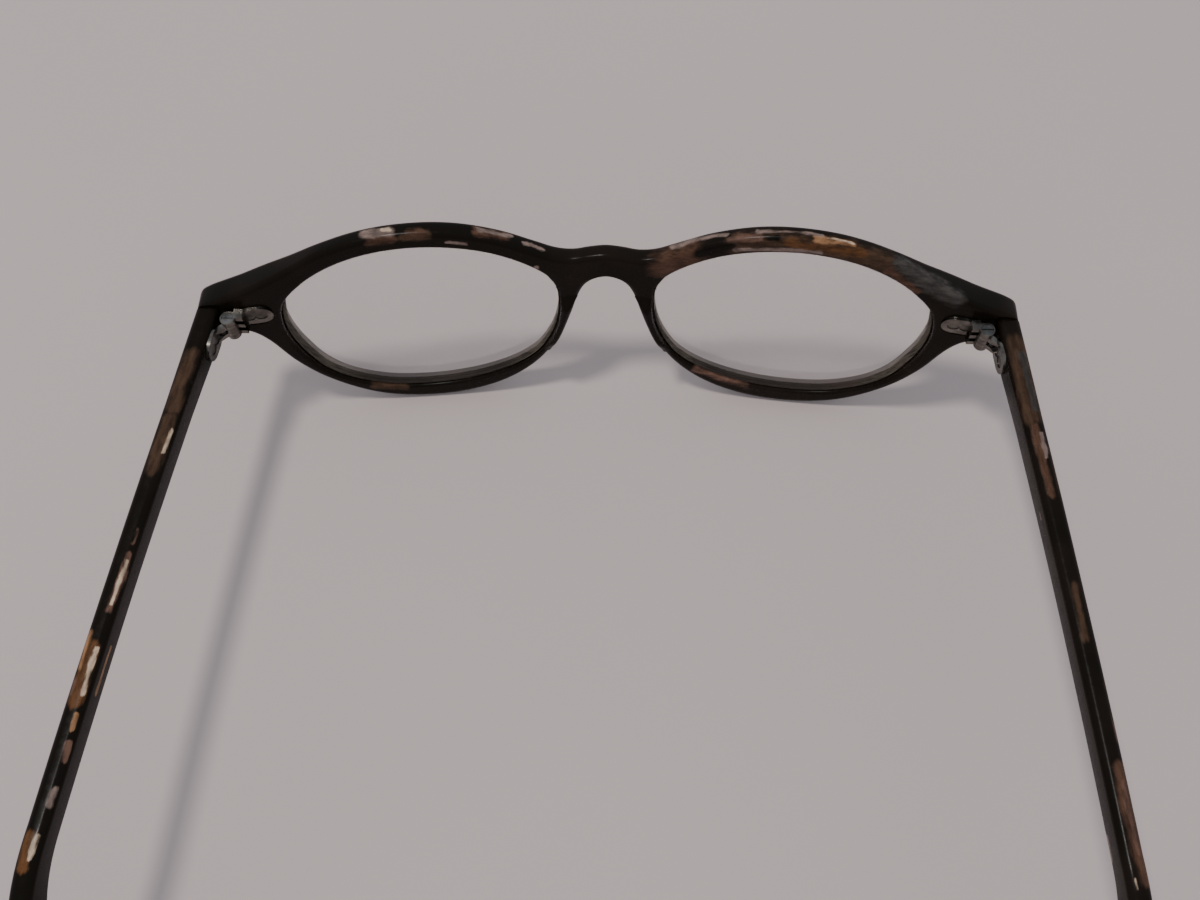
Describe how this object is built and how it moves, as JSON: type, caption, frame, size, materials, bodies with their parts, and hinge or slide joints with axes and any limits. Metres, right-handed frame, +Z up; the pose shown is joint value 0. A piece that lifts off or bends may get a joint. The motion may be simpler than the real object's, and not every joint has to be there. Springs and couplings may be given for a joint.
{
  "type": "eyeglasses",
  "caption": "Full rim acetate eyeglasses in dark tortoiseshell, standing open, with clear corrective lenses, metal barrel hinges and temples that fold over one another.",
  "frame": {"origin": "on the table, at the centre of the bounding box of the open glasses; the middle of the front is the plane x = 0.0024, because the left temple splays wider", "axes": "+Z up, +Y the way the wearer looks, +X towards the wearer's right"},
  "size_m": [0.1611, 0.1441, 0.0443],
  "materials": {
    "acetate": "polished dark tortoiseshell acetate",
    "lens": "clear, ground edge",
    "nickel": "satin nickel silver",
    "steel": "bright steel"
  },
  "bodies": {
    "front": {"front": "acetate", "nose_pad_left": "acetate", "nose_pad_right": "acetate", "lens_left": "lens", "lens_right": "lens", "front_hinge_left": "nickel", "front_hinge_right": "nickel", "front_rivets_left": "nickel", "front_rivets_right": "nickel", "hinge_screw_left": "steel", "hinge_screw_right": "steel"},
    "temple_left": {"temple_left": "acetate", "temple_hinge_left": "nickel", "temple_rivets_left": "nickel", "core_wire_left": "nickel"},
    "temple_right": {"temple_right": "acetate", "temple_hinge_right": "nickel", "temple_rivets_right": "nickel", "core_wire_right": "nickel"}
  },
  "joints": [
    {"name": "left_temple_fold", "type": "hinge", "parent": "front", "child": "temple_left", "pos_m": [-0.0595, 0.05951, 0.02986], "axis": [0, 0.0698, 0.9976], "range_deg": [0, 88]},
    {"name": "right_temple_fold", "type": "hinge", "parent": "front", "child": "temple_right", "pos_m": [0.0643, 0.05951, 0.02986], "axis": [0, -0.0698, -0.9976], "range_deg": [0, 96]}
  ]
}
